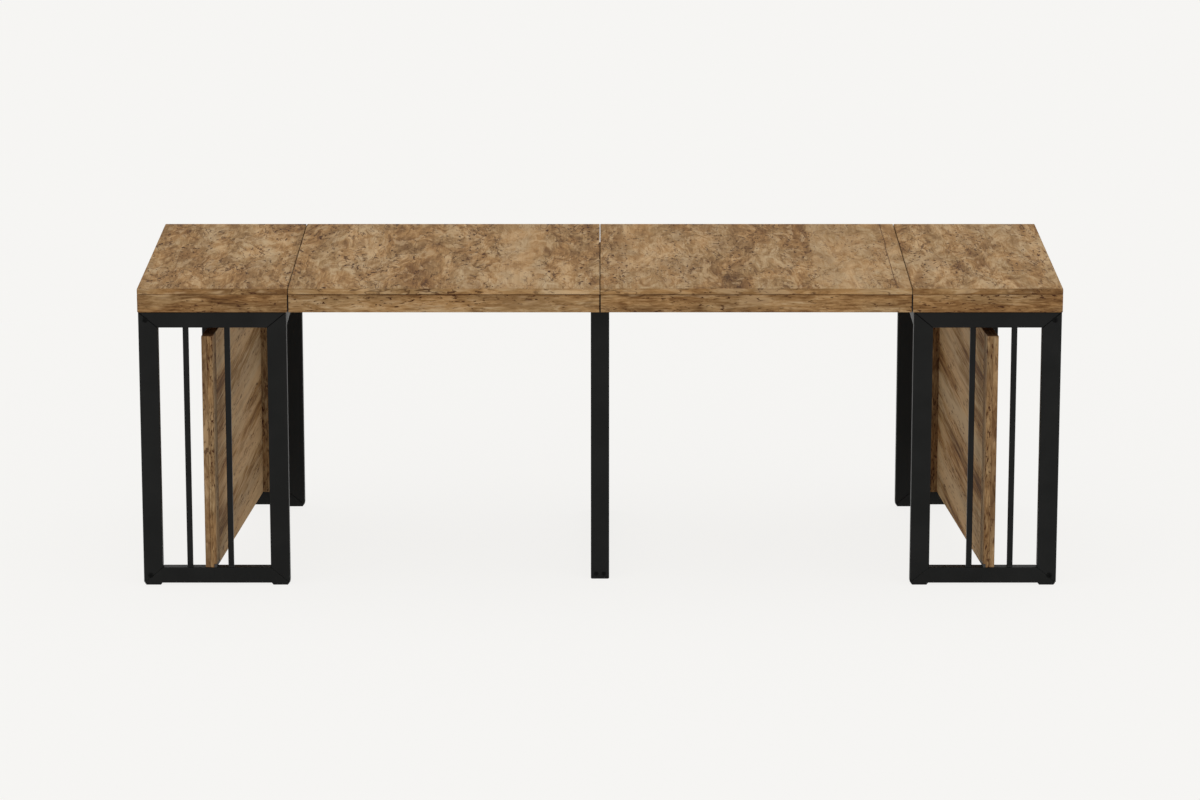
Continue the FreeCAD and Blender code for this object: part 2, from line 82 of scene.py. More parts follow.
def length(name, description, default):
    """A length in the sidebar, in metres."""
    return number(name, description, default, unit="LENGTH")


def swatch(name, description, default):
    """A colour in the sidebar."""
    return bpy.props.FloatVectorProperty(name=name, description=description, default=default,
                                         subtype="COLOR")


class TableWoodSettings(bpy.types.PropertyGroup):
    """Colours and figure of the rustic board."""
    dark: swatch("Dark", "Darkest streaks", (0.07, 0.031, 0.0105))
    brown: swatch("Brown", "Brown patches", (0.172, 0.088, 0.033))
    tan: swatch("Tan", "Main colour", (0.315, 0.187, 0.079))
    pale: swatch("Pale", "Pale patches", (0.47, 0.325, 0.178))
    fleck: swatch("Fleck", "Worm marks and short cracks", (0.05, 0.0178, 0.0082))
    cloud_size: length("Patch size", "Width of the brown patches", 0.12)
    vein_size: length("Vein size", "Width of the fine figure", 0.021)
    fleck_size: length("Fleck size", "Width of the dark flecks", 0.009)
    roughness: number("Roughness", "Roughness of the matt lacquer", 0.68, subtype="FACTOR")


class TableMetalSettings(bpy.types.PropertyGroup):
    """Colours of the coated tube, the slides and the plastic."""
    coat: swatch("Coat", "Black powder coat", (0.0049, 0.0051, 0.0047))
    rub: swatch("Rub", "Coat rubbed at the edges", (0.019, 0.019, 0.0185))
    zinc: swatch("Zinc", "Black plating of the slides", (0.045, 0.045, 0.047))
    oxide: swatch("Oxide", "Black oxide of the fasteners", (0.003, 0.003, 0.0028))
    plastic: swatch("Plastic", "Feet and tube plugs", (0.004, 0.004, 0.004))
    roughness: number("Roughness", "Roughness of the powder coat", 0.48, subtype="FACTOR")


class TableFittingSettings(bpy.types.PropertyGroup):
    """Sizes of the small fittings."""
    weld: length("Weld", "Leg of the weld round a bar", 0.0025)
    plug_flange: length("Plug flange", "Thickness of a tube plug's flange", 0.0008)
    shade_glide_width: length("Glide width", "Width of the glide in a spare leaf's notch", 0.006)
    shade_glide_height: length("Glide height", "Height of the glide", 0.009)
    screw_head: length("Screw head", "Diameter of a screw head", 0.0085)
    bolt_head: length("Bolt head", "Diameter of a frame bolt's head", 0.014)


class TableStageSettings(bpy.types.PropertyGroup):
    """Camera, light and background."""
    backdrop: swatch("Backdrop", "Colour of the floor and backdrop", (0.922, 0.914, 0.896))
    lens: number("Lens", "Focal length in millimetres", 142.76)
    distance: length("Distance", "From the camera to its aim", 12.2145)
    pitch: number("Pitch", "Angle of the camera below level", math.radians(13.641), subtype="ANGLE")
    aim: length("Aim", "Height of the camera's aim", 0.38044)
    ambient: number("Ambient", "Strength of the even light", 0.7)
    key: number("Key", "Power of the large lamp in front", 20.0, unit="POWER")
    fill: number("Fill", "Power of the lamp overhead", 72.0, unit="POWER")
    sides: number("Sides", "Power of each low lamp in front, to the left and to the right", 40.0,
                  unit="POWER")


# Nodes


def add(tree, kind, inputs=None, output=0, **settings):
    """Adds a node and gives one of its outputs; inputs are linked or set, and a colour is three numbers."""
    node = tree.nodes.new(kind)
    for name, value in settings.items():
        setattr(node, name, value)
    for key, value in (inputs or {}).items():
        socket = node.inputs[key]
        if isinstance(value, bpy.types.NodeSocket):
            tree.links.new(value, socket)
        else:
            socket.default_value = (*value, 1.0) if socket.type == "RGBA" else value
    return node.outputs[output]


def maths(tree, operation, *values, clamp=False):
    """One step of arithmetic on one, two or three values."""
    return add(tree, "ShaderNodeMath", dict(enumerate(values)), operation=operation, use_clamp=clamp)


def product(tree, first, *others):
    """All the values multiplied."""
    for other in others:
        first = maths(tree, "MULTIPLY", first, other)
    return first


def uneven(tree, mottle, middle, spread):
    """A value that follows a mottle from 0 to 1, over a spread about its middle."""
    return maths(tree, "MULTIPLY_ADD", mottle, spread, middle - spread / 2)


def blended(tree, factor, first, second, blend="MIX"):
    """One colour over another by a factor."""
    inputs = {0: factor, 6: first, 7: second}
    return add(tree, "ShaderNodeMix", inputs, 2, data_type="RGBA", blend_type=blend)


def window(tree, value, low, high, least=0.0):
    """A soft step from the least value at low to 1 at high."""
    inputs = {"Value": value, "From Min": low, "From Max": high, "To Min": least}
    return add(tree, "ShaderNodeMapRange", inputs, interpolation_type="SMOOTHSTEP")


def ramped(tree, factor, stops):
    """A ramp of colours through stops in rising order."""
    ramp = tree.nodes.new("ShaderNodeValToRGB")
    tree.links.new(factor, ramp.inputs[0])
    elements = ramp.color_ramp.elements
    for i, (spot, colour) in enumerate(stops):
        stop = elements[i] if i < len(elements) else elements.new(spot)
        stop.position = spot
        stop.color = (*colour, 1.0)
    return ramp.outputs[0]


def noise(tree, place, size, detail=2.0, roughness=0.5, distortion=0.0):
    """Smooth noise whose features are about the given size in metres."""
    return add(tree, "ShaderNodeTexNoise", {"Vector": place, "Scale": 1 / size, "Detail": detail,
                                            "Roughness": roughness, "Distortion": distortion})


def mapped(tree, place, stretch=(1, 1, 1), turn=0.0, shift=(0, 0, 0), tilt=0.0):
    """A place scaled, then tilted about X and turned about Z, then shifted."""
    return add(tree, "ShaderNodeMapping", {"Vector": place, "Scale": stretch, "Rotation": (tilt, 0, turn),
                                           "Location": shift})


def coordinates(tree, kind="Object"):
    """The place in the object's own axes, or with Normal the direction that the surface faces."""
    return add(tree, "ShaderNodeTexCoord", output=kind)


def axes(tree, vector):
    """The X, Y and Z of a vector."""
    return add(tree, "ShaderNodeSeparateXYZ", {0: vector}).node.outputs


def leans(tree):
    """How far the surface faces along X, Y and Z, either way."""
    normal = coordinates(tree, "Normal")
    return axes(tree, add(tree, "ShaderNodeVectorMath", {0: normal}, operation="ABSOLUTE"))


def edge_mask(tree, radius):
    """1 near the edges of a piece and 0 on its flats: the rounded normal's lean from the true one."""
    rounded = add(tree, "ShaderNodeBevel", {"Radius": radius}, samples=4)
    true = add(tree, "ShaderNodeNewGeometry", output="True Normal")
    lean = add(tree, "ShaderNodeVectorMath", {0: rounded, 1: true}, "Value", operation="DOT_PRODUCT")
    return window(tree, lean, 0.985, 0.86)


def empty_tree(holder):
    """The cleared nodes of a material or a world."""
    holder.use_nodes = True
    holder.node_tree.nodes.clear()
    return holder.node_tree


def show(tree, surface, kind="Material"):
    """Links a surface to the output of a material or a world."""
    end = tree.nodes.new("ShaderNodeOutput" + kind)
    tree.links.new(surface, end.inputs["Surface"])


def new_material(name):
    """A material and its cleared nodes."""
    material = bpy.data.materials.new(name)
    return material, empty_tree(material)


def surfaced(material, colour, roughness, height, strength, distance, specular=0.5, metallic=0.0):
    """Gives a material its surface, which a height raises by up to a distance in metres."""
    tree = material.node_tree
    bump = add(tree, "ShaderNodeBump", {"Height": height, "Strength": strength, "Distance": distance})
    inputs = {"Base Color": colour, "Roughness": roughness, "Normal": bump,
              "Specular IOR Level": specular, "Metallic": metallic}
    show(tree, add(tree, "ShaderNodeBsdfPrincipled", inputs))
    return material


# Rustic wood


@dataclass
class Figure:
    """How a piece's grain looks: its stretch, swirl and tilt, and the weight and size of its marks."""
    stretch: float
    swirl: float
    patches: float
    veins: float
    fibres: float
    contours: float
    knots: float
    stains: float
    flecks: float
    cracks: float
    blotches: float = 0.0
    patch_share: float = 1.0
    vein_share: float = 1.0
    fleck_share: float = 1.0
    tilt: float = 0.0
    end_stretch: float = 0.25
    fibre_run: float = 0.03
    end_fibre_run: float = 0.12
    dash: float = 0.35
    bunch: float = 0.075
    tint: tuple = (1.0, 1.0, 1.0)
    end_tint: tuple = (1.0, 1.0, 1.0)
    fleck_cut: float = 0.57


BURR = Figure(stretch=0.27, swirl=0.09, patches=0.34, veins=1.75, fibres=0.4, contours=0.14, knots=0.4,
              stains=0.6, flecks=1.0, cracks=0.75, blotches=0.55, dash=0.43)
APRON = Figure(stretch=0.2, swirl=0.06, patches=0.3, veins=1.6, fibres=0.8, contours=0.05, knots=0.3,
               stains=0.5, flecks=1.2, cracks=0.3, blotches=0.4, vein_share=0.65, fleck_share=0.5,
               end_stretch=0.2, fibre_run=0.1, end_fibre_run=0.1, dash=0.25, bunch=0.03,
               tint=(0.985, 1.0, 1.03))
EDGE = Figure(stretch=0.3, swirl=0.04, patches=0.15, veins=0.85, fibres=0.9, contours=0.05, knots=0.2,
              stains=0.25, flecks=1.2, cracks=0.4, blotches=0.15, patch_share=0.5, vein_share=0.65,
              fleck_share=0.45, end_stretch=0.45, dash=0.25, bunch=0.018, tint=(0.96, 1.05, 1.21),
              fleck_cut=0.53)
STREAKED = Figure(stretch=0.075, swirl=0.03, patches=1.1, veins=1.3, fibres=1.3, contours=0.06, knots=0.15,
                  stains=0.4, flecks=0.8, cracks=0.3, blotches=0.6, patch_share=0.9, vein_share=0.7,
                  fleck_share=0.6, tilt=math.radians(-5), dash=0.12, end_tint=(1.0, 1.12, 1.36))
LEAF_TOP = replace(BURR, end_tint=STREAKED.end_tint)
PLAIN = Figure(stretch=0.05, swirl=0.01, patches=0.12, veins=0.5, fibres=0.35, contours=0.0, knots=0.05,
               stains=0.1, flecks=0.25, cracks=0.1)


@dataclass
class Patches:
    """A layer of soft patches: their size in metres, limits in the noise, and where that noise lies."""
    size: float
    limits: tuple
    shift: tuple = (0, 0, 0)
    detail: float = 3.0
    roughness: float = 0.5


WARM_AREAS = Patches(0.05, (0.38, 0.62), shift=(9, 3, 1))
STAINS = Patches(0.045, (0.5, 0.66), shift=(5, 2, 8), detail=4.0, roughness=0.7)
BLOTCHES = Patches(0.026, (0.56, 0.66), shift=(2, 6, 3), roughness=0.55)
CRACKED_AREAS = Patches(0.07, (0.46, 0.56), shift=(7, 4, 5), detail=2.0)
WORN_AREAS = Patches(0.05, (0.4, 0.62))
BUNCH_SHIFT = (3, 1, 2)

END_LEAN = 0.7
SWIRL_SCALE = 9.0
END_SWIRL_LOSS = 0.7
FIBRE_SIZE = 0.0035
FIBRE_HEIGHT = 0.35
CONTOUR_SIZE = 0.085
CONTOUR_STEPS = 11.0
KNOT_SCALE = 5.2
CRACK_SIZE = 0.038
FLECK_SOFTNESS = 0.08
JOINT_EDGES = (0.0016, 0.0006)
JOINT_SHADE = 0.75
JOINT_WANDER = 0.004
SEAM_EDGES = (0.0035, 0.003)
SEAM_SHADE_AND_STAIN = (0.006, 0.0045, 0.0035)
SLANT = 0.7
SLANT_SPAN = 0.2
WOOD_EDGE = 0.0028
TOP_SHADE = 0.85

MEAN_TONE = 0.6
MIDDLE_PLANK = 0.5
PALE_PLANK = (0.54, 0.6)
PALE_CALM = 0.4
FADE_POWER = 6
TONE_PLACES = {"dark": 0.02, "brown": 0.33, "tan": 0.64, "pale": 0.98}
COOL_TINT = (0.965, 1.0, 1.055)
WARM_TINT = (1.045, 0.995, 0.945)


def grain_places(tree, figure, turn, shift, end_axis, upright):
    """Places whose second coordinate runs along the grain: along Y, or along end_axis on faces across Y.

    On an upright strip it runs along end_axis all round. Short and fine are shortened along the grain, for
    the figure and the fibres, and soft noise moves the swirled place. X and a mask of the faces across Y
    come with them.
    """
    point = mapped(tree, coordinates(tree), turn=turn)
    split = axes(tree, point)
    on_end = maths(tree, "GREATER_THAN", leans(tree)["Y"], END_LEAN)
    order = {"X": "ZXY", "Z": "XZY"}[end_axis]
    ended = add(tree, "ShaderNodeCombineXYZ", {i: split[axis] for i, axis in enumerate(order)})
    tilted = ended if upright else mapped(tree, point, tilt=figure.tilt)
    moved = [mapped(tree, place, shift=shift) for place in (tilted, ended)]

    def by_face(*runs):
        along, at_end = (mapped(tree, place, stretch=(1, run, 1)) for place, run in zip(moved, runs))
        return add(tree, "ShaderNodeMix", {0: on_end, 4: along, 5: at_end}, 1, data_type="VECTOR")

    short = by_face(figure.stretch, min(figure.stretch, figure.end_stretch))
    drift = add(tree, "ShaderNodeTexNoise", {"Vector": short, "Scale": SWIRL_SCALE, "Detail": 2.0}, "Color")
    drift = add(tree, "ShaderNodeVectorMath", {0: drift, 1: (0.5, 0.5, 0.5)}, operation="SUBTRACT")
    swirl = maths(tree, "MULTIPLY_ADD", on_end, -END_SWIRL_LOSS * figure.swirl, figure.swirl)
    drift = add(tree, "ShaderNodeVectorMath", {0: drift, "Scale": swirl}, operation="SCALE")
    swirled = add(tree, "ShaderNodeVectorMath", {0: short, 1: drift}, operation="ADD")
    fine = by_face(figure.fibre_run, figure.end_fibre_run)
    return SimpleNamespace(place=by_face(1, 1), short=short, fine=fine, swirled=swirled,
                           across=split["X"], on_end=on_end)


def patchy(tree, place, layer):
    """Soft patches: 0 where a layer's noise is under its first limit and 1 where it is over its second."""
    place = mapped(tree, place, shift=layer.shift)
    return window(tree, noise(tree, place, layer.size, layer.detail, layer.roughness), *layer.limits)


def plank_tone(tree, across, planks):
    """Paler or darker planks across a board: a ramp over X of small steps in tone."""
    low, high = CAD_LOW.x, CAD_HIGH.x
    factor = add(tree, "ShaderNodeMapRange", {"Value": across, "From Min": low, "From Max": high})
    return ramped(tree, factor, [((place - low) / (high - low), (tone,) * 3) for place, tone in planks])


def figure_layers(tree, grain, wood, figure):
    """The layers of the figure, each from 0 to 1: patches, veins, fibres, contour lines, knots and bunches.

    A contour line runs where the noise passes a whole step, and knots are some cells of a spotted pattern.
    """
    cloud = Patches(wood.cloud_size * figure.patch_share, (0.32, 0.68), detail=4.0, roughness=0.6)
    level = product(tree, noise(tree, grain.swirled, CONTOUR_SIZE), CONTOUR_STEPS)
    spots = add(tree, "ShaderNodeTexVoronoi", {"Vector": grain.swirled, "Scale": KNOT_SCALE}).node.outputs
    picked = window(tree, add(tree, "ShaderNodeSeparateColor", {0: spots["Color"]}), 0.5, 0.6)
    bunched = mapped(tree, grain.short, shift=BUNCH_SHIFT)
    return {
        "cloud": patchy(tree, grain.swirled, cloud),
        "vein": noise(tree, grain.swirled, wood.vein_size * figure.vein_share, 5.0, 0.7, 0.6),
        "fibre": noise(tree, grain.fine, FIBRE_SIZE, 2.0, 0.6),
        "contour": window(tree, maths(tree, "PINGPONG", level, 0.5), 0.11, 0.02),
        "knot": product(tree, window(tree, spots["Distance"], 0.36, 0.02), picked),
        "bunches": noise(tree, bunched, figure.bunch, 3.0),
    }


def board_tone(tree, grain, layers, figure, lift, end_lift, plank, fade):
    """Tone from dark to pale: weighted layers, each from its own middle, with lifts, planks and a fade."""
    tone = 0.0
    for layer, weight, middle in (("cloud", figure.patches, 0.5), ("vein", figure.veins, 0.5),
                                  ("fibre", figure.fibres, 0.5), ("contour", -figure.contours, 0.25),
                                  ("knot", -figure.knots, 0.1)):
        part = product(tree, maths(tree, "SUBTRACT", layers[layer], middle), weight)
        tone = maths(tree, "ADD", tone, part)
    tone = maths(tree, "ADD", product(tree, tone, grain.lively), product(tree, grain.on_end, end_lift))
    tone = maths(tree, "ADD", tone, MEAN_TONE + lift)
    if plank is not None:
        step = maths(tree, "SUBTRACT", plank, MIDDLE_PLANK)
        on_top = maths(tree, "SUBTRACT", 1.0, grain.on_end)
        tone = maths(tree, "ADD", tone, product(tree, step, on_top))
    if fade:
        axis, start, end, depth = fade
        level = axes(tree, coordinates(tree))[axis]
        rise = add(tree, "ShaderNodeMapRange", {"Value": level, "From Min": start, "From Max": end})
        tone = maths(tree, "SUBTRACT", tone, product(tree, maths(tree, "POWER", rise, FADE_POWER), depth))
    return tone


def board_colour(tree, grain, layers, tone, wood, figure):
    """The colour that the tone picks, in warm and cool areas, under brown stains and pale blotches."""
    colour = ramped(tree, tone, [(spot, getattr(wood, name)) for name, spot in TONE_PLACES.items()])
    cool, warm = (np.multiply(tint, figure.tint) for tint in (COOL_TINT, WARM_TINT))
    tint = blended(tree, patchy(tree, grain.short, WARM_AREAS), cool, warm)
    colour = blended(tree, 1.0, colour, tint, "MULTIPLY")
    colour = blended(tree, grain.on_end, colour, figure.end_tint, "MULTIPLY")
    bunched = product(tree, window(tree, layers["bunches"], 0.5, 0.66), 0.6)
    stain = maths(tree, "MAXIMUM", patchy(tree, grain.swirled, STAINS), bunched)
    colour = blended(tree, product(tree, stain, figure.stains, grain.lively), colour, wood.brown)
    blotch = patchy(tree, grain.swirled, BLOTCHES)
    return blended(tree, product(tree, blotch, figure.blotches, grain.lively), colour, wood.pale)


def dark_marks(tree, grain, layers, wood, figure, joints):
    """Flecks in bunches and round knots, short cracks where noise passes its middle, and plank joints."""
    clusters = maths(tree, "MAXIMUM", window(tree, layers["bunches"], 0.4, 0.58), layers["knot"])
    dashes = mapped(tree, grain.place, stretch=(1, figure.dash, 1))
    specks = noise(tree, dashes, wood.fleck_size * figure.fleck_share, 3.0, 0.6)
    specks = window(tree, specks, figure.fleck_cut, figure.fleck_cut + FLECK_SOFTNESS)
    level = maths(tree, "SUBTRACT", noise(tree, grain.swirled, CRACK_SIZE, 3.0), 0.5)
    cracks = window(tree, maths(tree, "ABSOLUTE", level), 0.016, 0.003)
    cracks = product(tree, cracks, patchy(tree, grain.short, CRACKED_AREAS), figure.cracks)
    marks = maths(tree, "MAXIMUM", product(tree, specks, clusters, figure.flecks), cracks)
    for joint in joints:
        wander = product(tree, maths(tree, "SUBTRACT", layers["cloud"], 0.5), JOINT_WANDER)
        gap = maths(tree, "ADD", maths(tree, "SUBTRACT", grain.across, joint), wander)
        line = window(tree, maths(tree, "ABSOLUTE", gap), *JOINT_EDGES)
        shown = maths(tree, "SUBTRACT", JOINT_SHADE, grain.on_end, clamp=True)
        marks = maths(tree, "MAXIMUM", marks, product(tree, line, shown))
    return marks


def seam_places():
    """X of the seams between boards, in one half: the centre, and between the leaf top and the end top."""
    leaf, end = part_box("right_leaf_top"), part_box("right_end_top")
    return 0.0, (leaf[1].x + end[0].x) / 2


def seam_shade_mask(tree, across):
    """1 on the upright faces and eased edges in the seams between boards, which get painted shade with dark
    stain.
    """
    lean = leans(tree)
    reach = maths(tree, "ABSOLUTE", across)
    near = maths(tree, "MINIMUM", *(maths(tree, "ABSOLUTE", maths(tree, "SUBTRACT", reach, place))
                                    for place in seam_places()))
    sideways = product(tree, window(tree, lean["X"], 0.4, 0.6), window(tree, lean["Z"], 0.5, 0.3))
    return product(tree, window(tree, near, *SEAM_EDGES), sideways)


def rustic_wood(name, wood, figure, turn=0.0, shift=(0, 0, 0), end_axis="X", lift=0.0, end_lift=0.0,
                end_calm=0.0, upright=False, shade_top_faces=False, planks=(), joints=(), groove_shade=0, fade=None):
    """Rustic board: the tone of its figure picks its colour, under dark marks, worn edges and painted shade
    in the seams.

    Lifts make the board, or its end faces, paler. Groove_shade is above or below 0 where the eased edges
    that look up or down lie in the seam between a board and its apron, and its size is how dark the painted
    shade on them is; it also gives the upright faces in the seams between boards painted shade with dark
    stain. Fade gives an axis, two places on it, and how much darker the board is close to the second.
    Shade_top_faces gives painted shade to the faces that look up.
    """
    material, tree = new_material(name)
    grain = grain_places(tree, figure, turn, shift, end_axis, upright)
    plank = plank_tone(tree, grain.across, planks) if planks else None
    calm = product(tree, grain.on_end, end_calm)
    if planks:
        calm = maths(tree, "MAXIMUM", calm, product(tree, window(tree, plank, *PALE_PLANK), PALE_CALM))
    grain.lively = maths(tree, "SUBTRACT", 1.0, calm)
    layers = figure_layers(tree, grain, wood, figure)
    tone = board_tone(tree, grain, layers, figure, lift, end_lift, plank, fade)
    colour = board_colour(tree, grain, layers, tone, wood, figure)
    marks = dark_marks(tree, grain, layers, wood, figure, joints)
    colour = blended(tree, product(tree, marks, grain.lively), colour, wood.fleck)
    wear_and_shade_mottle = uneven(tree, patchy(tree, grain.short, WORN_AREAS), middle=0.5, spread=0.8)
    colour = blended(tree, product(tree, edge_mask(tree, WOOD_EDGE), wear_and_shade_mottle), colour, wood.fleck)
    upward = axes(tree, coordinates(tree, "Normal"))["Z"]
    # Painted shade: faces that look up are darkened towards the fleck colour, as if in the shade of the top
    # above.
    if shade_top_faces:
        shaded = product(tree, window(tree, upward, 0.6, 0.8), TOP_SHADE)
        colour = blended(tree, shaded, colour, wood.fleck)
    # Painted shade: the eased edges along the seam between a board and its apron are darkened in a mottle,
    # and the upright faces in the seams between boards get painted shade with dark stain.
    if groove_shade:
        facing = product(tree, upward, math.copysign(1, groove_shade))
        slanted = maths(tree, "COMPARE", facing, SLANT, SLANT_SPAN)
        colour = blended(tree, product(tree, slanted, wear_and_shade_mottle, 2 * abs(groove_shade)), colour, wood.fleck)
        colour = blended(tree, seam_shade_mask(tree, grain.across), colour, SEAM_SHADE_AND_STAIN)
    rough = uneven(tree, layers["vein"], middle=wood.roughness, spread=0.16)
    height = maths(tree, "SUBTRACT", product(tree, layers["fibre"], FIBRE_HEIGHT), marks)
    return surfaced(material, colour, rough, height, strength=0.35, distance=0.0005, specular=0.04)


# Metal and plastic


COAT_EDGE = 0.0016
MITRE_SHADE = (0.0005, 0.0005, 0.0005)
PLATE_DULLNESS = 0.72


def powder_coat(name, metal):
    """Matt black powder coat: fine orange peel, uneven gloss, edges rubbed paler and painted shade in the
    mitre grooves.

    The faces that lean in all three directions are the grooves of the mitres, which get painted shade that
    is darker higher up.
    """
    material, tree = new_material(name)
    point = coordinates(tree)
    peel = noise(tree, point, size=0.0016)
    film = noise(tree, point, size=0.09, detail=3.0, roughness=0.55)
    dust = noise(tree, mapped(tree, point, stretch=(1, 1, 0.25)), size=0.03, detail=4.0, roughness=0.65)
    edges = product(tree, edge_mask(tree, COAT_EDGE), window(tree, dust, 0.36, 0.62))
    lean = leans(tree)
    least = maths(tree, "MINIMUM", lean["X"], maths(tree, "MINIMUM", lean["Y"], lean["Z"]))
    level = axes(tree, point)["Z"]
    # Painted shade in the mitre grooves, strongest higher up and fading out towards the floor.
    groove_shade = product(tree, window(tree, least, 0.2, 0.3), window(tree, level, 0.0, 0.5))
    shade = product(tree, window(tree, film, 0.25, 0.8), 0.22)
    colour = blended(tree, shade, metal.coat, metal.rub)
    colour = blended(tree, edges, colour, metal.rub)
    colour = blended(tree, groove_shade, colour, MITRE_SHADE)
    rough = uneven(tree, film, middle=metal.roughness, spread=0.18)
    return surfaced(material, colour, rough, peel, strength=0.18, distance=0.0002, specular=0.12)


def blackened_steel(name, metal):
    """Black oxide on small fasteners: oily sheen with a mottled roughness."""
    material, tree = new_material(name)
    mottle = noise(tree, coordinates(tree), size=0.0025, detail=3.0, roughness=0.6)
    colour = blended(tree, window(tree, mottle, 0.5, 0.8), metal.oxide, metal.coat)
    rough = uneven(tree, mottle, middle=0.375, spread=0.25)
    return surfaced(material, colour, rough, mottle, strength=0.15, distance=0.0001, specular=0.06)


def plated_steel(name, metal):
    """Black-plated slide rail: rolling streaks along X and a cloudy plate."""
    material, tree = new_material(name)
    point = coordinates(tree)
    streaks = noise(tree, mapped(tree, point, stretch=(0.02, 1, 1)), size=0.0016, detail=3.0, roughness=0.6)
    cloud = noise(tree, point, size=0.025, detail=3.0, roughness=0.55)
    duller = np.multiply(PLATE_DULLNESS, metal.zinc)
    colour = blended(tree, window(tree, cloud, 0.3, 0.7), metal.zinc, duller)
    rough = uneven(tree, streaks, middle=0.35, spread=0.3)
    return surfaced(material, colour, rough, streaks, strength=0.12, distance=0.0001, metallic=1.0)


def moulded_plastic(name, metal):
    """Black moulded plastic with a fine spark-eroded grain."""
    material, tree = new_material(name)
    point = coordinates(tree)
    grain = noise(tree, point, size=0.0007, detail=2.0, roughness=0.6)
    scuff = noise(tree, point, size=0.012, detail=4.0, roughness=0.65)
    colour = blended(tree, window(tree, scuff, 0.52, 0.75), metal.plastic, metal.rub)
    rough = uneven(tree, scuff, middle=0.55, spread=0.2)
    return surfaced(material, colour, rough, grain, strength=0.2, distance=0.0001, specular=0.15)


def paint(nodes, material):
    """Gives CAD nodes a material."""
    for node in nodes:
        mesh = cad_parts[node].data
        mesh.materials.clear()
        mesh.materials.append(material)


# Small fittings


MERGE_DISTANCE = 1e-6
SHARP_ANGLE = math.radians(40)
ARC_POINTS = 6
LOOP_POINTS = 4 * ARC_POINTS
BAR_CORNER = 0.002
TUBE_CORNER = 0.003
SOCKET_RADIUS = 0.0036
SOCKET_DEPTH = 0.0014
SOCKET_COLUMNS = 36
DOME_RINGS = 7
CROSS_COLUMNS = 32
CROSS_ARM = 0.13
CROSS_REACH = 0.6
SHADE_GLIDE_CLEARANCE = 0.0001
SHADE_GLIDE_RADIUS = 0.0006


def place_object(name, data):
    """A new object in the scene, at the origin."""
    item = bpy.data.objects.new(name, data)
    bpy.context.scene.collection.objects.link(item)
    return item


def grid_faces(rows, columns):
    """Quads between neighbours of a grid whose last column joins the first."""
    index = np.arange(rows * columns).reshape(rows, columns)
    right = np.roll(index, -1, axis=1)
    corners = [index[:-1], right[:-1], right[1:], index[1:]]
    return np.stack(corners, axis=-1).reshape(-1, 4)


def build_piece(name, grids, material, body):
    """One mesh from several grids of points, riding on a body; rows that are one point become poles."""
    points, faces, start = [], [], 0
    for grid in grids:
        rows, columns, _ = grid.shape
        points.append(grid.reshape(-1, 3))
        faces.append(grid_faces(rows, columns) + start)
        start += rows * columns
    mesh = bpy.data.meshes.new(name)
    mesh.from_pydata(np.concatenate(points).tolist(), [], np.concatenate(faces).tolist())
    closed = bmesh.new()
    closed.from_mesh(mesh)
    bmesh.ops.remove_doubles(closed, verts=closed.verts, dist=MERGE_DISTANCE)
    closed.to_mesh(mesh)
    closed.free()
    mesh.materials.append(material)
    mesh.polygons.foreach_set("use_smooth", np.ones(len(mesh.polygons), dtype=bool))
    mesh.set_sharp_from_angle(angle=SHARP_ANGLE)
    mesh.update()
    piece = place_object(name, mesh)
    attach(piece, body)
    return piece


def rounded_loop(half_a, half_b, radius):
    """A rounded rectangle round the origin: four quarter circles of equal steps, anticlockwise."""
    turn = np.linspace(0, math.pi / 2, ARC_POINTS)
    arc = np.stack([np.cos(turn), np.sin(turn)], axis=-1)
    quarters = []
    for i, (sign_a, sign_b) in enumerate(((1, 1), (-1, 1), (-1, -1), (1, -1))):
        angle = i * math.pi / 2
        spin = np.array([[math.cos(angle), math.sin(angle)], [-math.sin(angle), math.cos(angle)]])
        middle = np.array([sign_a * (half_a - radius), sign_b * (half_b - radius)])
        quarters.append(middle + radius * arc @ spin)
    return np.concatenate(quarters)


def weld_ring(middle, up, half, leg):
    """A hollow-faced weld: a quarter circle, from the rail up the bar, carried round a square bar.

    Its section goes back down the bar and out along the rail to where it started.
    """
    sweep = np.linspace(0, math.pi / 2, ARC_POINTS)
    outward = leg * np.append(1 - np.sin(sweep), (0, 1))
    rise = leg * np.append(1 - np.cos(sweep), (0, 0))
    rows = []
    for out, lift in zip(outward, rise):
        loop = rounded_loop(half + out, half + out, BAR_CORNER + out)
        rows.append(np.column_stack([loop, np.full(LOOP_POINTS, up * lift)]))
    grid = np.stack(rows) + middle
    return grid if up > 0 else grid[:, ::-1]


def tube_plug(place, side, half_y, half_z, flange):
    """A plug in a tube's end: rings from the tube over a rounded flange to its slightly dished middle.

    Each ring lies a share of the flange's thickness out, and is a share of the tube's outline.
    """
    shares = [(0.0, 0.0), (0.0, 0.985), (0.55, 1.0), (0.9, 0.985), (1.0, 0.955), (1.0, 0.8), (0.82, 0.74),
              (0.78, 0.0)]
    loop = rounded_loop(half_y, half_z, TUBE_CORNER)
    rows = []
    for out, share in shares:
        rows.append(np.column_stack([np.full(LOOP_POINTS, side * out * flange), share * loop]))
    grid = np.stack(rows) + place
    return grid if side > 0 else grid[:, ::-1]


def spin_about_z(angle):
    """The matrix of a turn about Z."""
    cosine, sine = math.cos(angle), math.sin(angle)
    return np.array([[cosine, -sine, 0], [sine, cosine, 0], [0, 0, 1]])


def turned_box(node, angle):
    """Lowest and highest corners of a node in axes that are turned about Z."""
    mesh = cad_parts[node].data
    points = np.empty(3 * len(mesh.vertices))
    mesh.vertices.foreach_get("co", points)
    points = points.reshape(-1, 3) @ spin_about_z(angle)
    return points.min(axis=0), points.max(axis=0)


